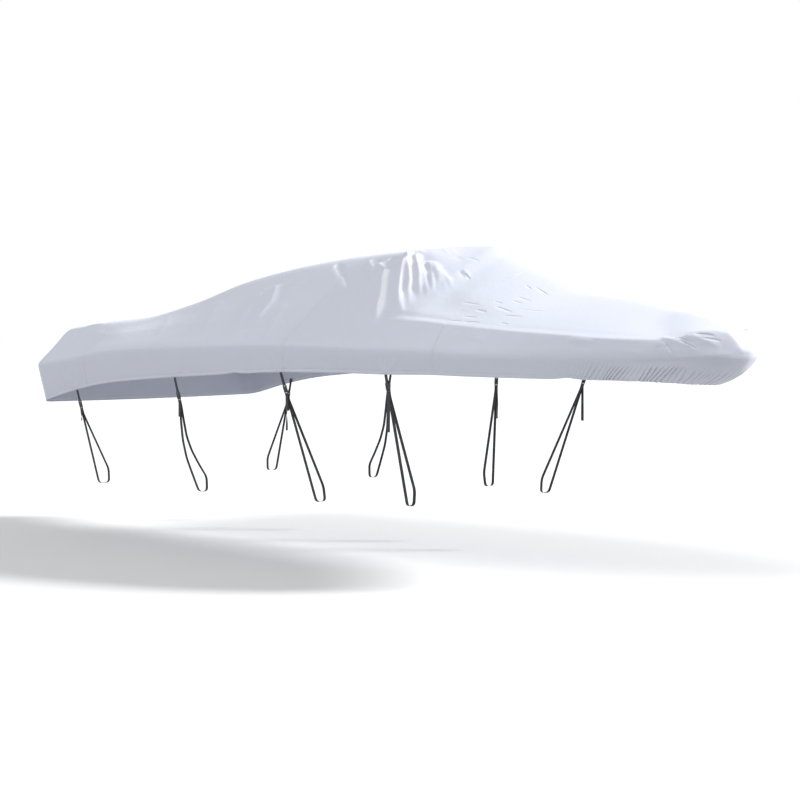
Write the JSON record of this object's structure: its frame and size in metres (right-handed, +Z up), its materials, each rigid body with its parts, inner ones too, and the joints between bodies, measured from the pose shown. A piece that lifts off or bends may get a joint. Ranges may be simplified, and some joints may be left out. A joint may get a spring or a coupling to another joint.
{
  "type": "boat cover",
  "caption": "Fitted fabric cover for an open motorboat, drawn tight from a low stern over a windshield peak to a pointed bow, with buckled tie-down straps.",
  "frame": {"origin": "on the centreline under the cover's peak, against the underside of the cloth", "axes": "+X towards the bow, +Y to port, +Z up, with the cover level as it is worn"},
  "size_m": [5.8577, 2.323, 1.765],
  "materials": {
    "cover_cloth": "satin, coated woven polyester in silver grey",
    "webbing": "matt black woven webbing",
    "buckle_plastic": "moulded, semi-gloss black"
  },
  "bodies": {
    "root": {"aft_panel": "cover_cloth", "bow_panel": "cover_cloth", "buckle_plug_port_1": "buckle_plastic", "buckle_plug_port_2": "buckle_plastic", "buckle_plug_port_3": "buckle_plastic", "buckle_plug_port_4": "buckle_plastic", "buckle_plug_starboard_1": "buckle_plastic", "buckle_plug_starboard_2": "buckle_plastic", "buckle_plug_starboard_3": "buckle_plastic", "buckle_plug_starboard_4": "buckle_plastic", "buckle_socket_port_1": "buckle_plastic", "buckle_socket_port_2": "buckle_plastic", "buckle_socket_port_3": "buckle_plastic", "buckle_socket_port_4": "buckle_plastic", "buckle_socket_starboard_1": "buckle_plastic", "buckle_socket_starboard_2": "buckle_plastic", "buckle_socket_starboard_3": "buckle_plastic", "buckle_socket_starboard_4": "buckle_plastic", "hem_tab_port_1": "webbing", "hem_tab_port_2": "webbing", "hem_tab_port_3": "webbing", "hem_tab_port_4": "webbing", "hem_tab_starboard_1": "webbing", "hem_tab_starboard_2": "webbing", "hem_tab_starboard_3": "webbing", "hem_tab_starboard_4": "webbing", "peak_panel": "cover_cloth", "stern_panel": "cover_cloth", "tie_strap_port_1": "webbing", "tie_strap_port_2": "webbing", "tie_strap_port_3": "webbing", "tie_strap_port_4": "webbing", "tie_strap_starboard_1": "webbing", "tie_strap_starboard_2": "webbing", "tie_strap_starboard_3": "webbing", "tie_strap_starboard_4": "webbing"}
  },
  "joints": []
}
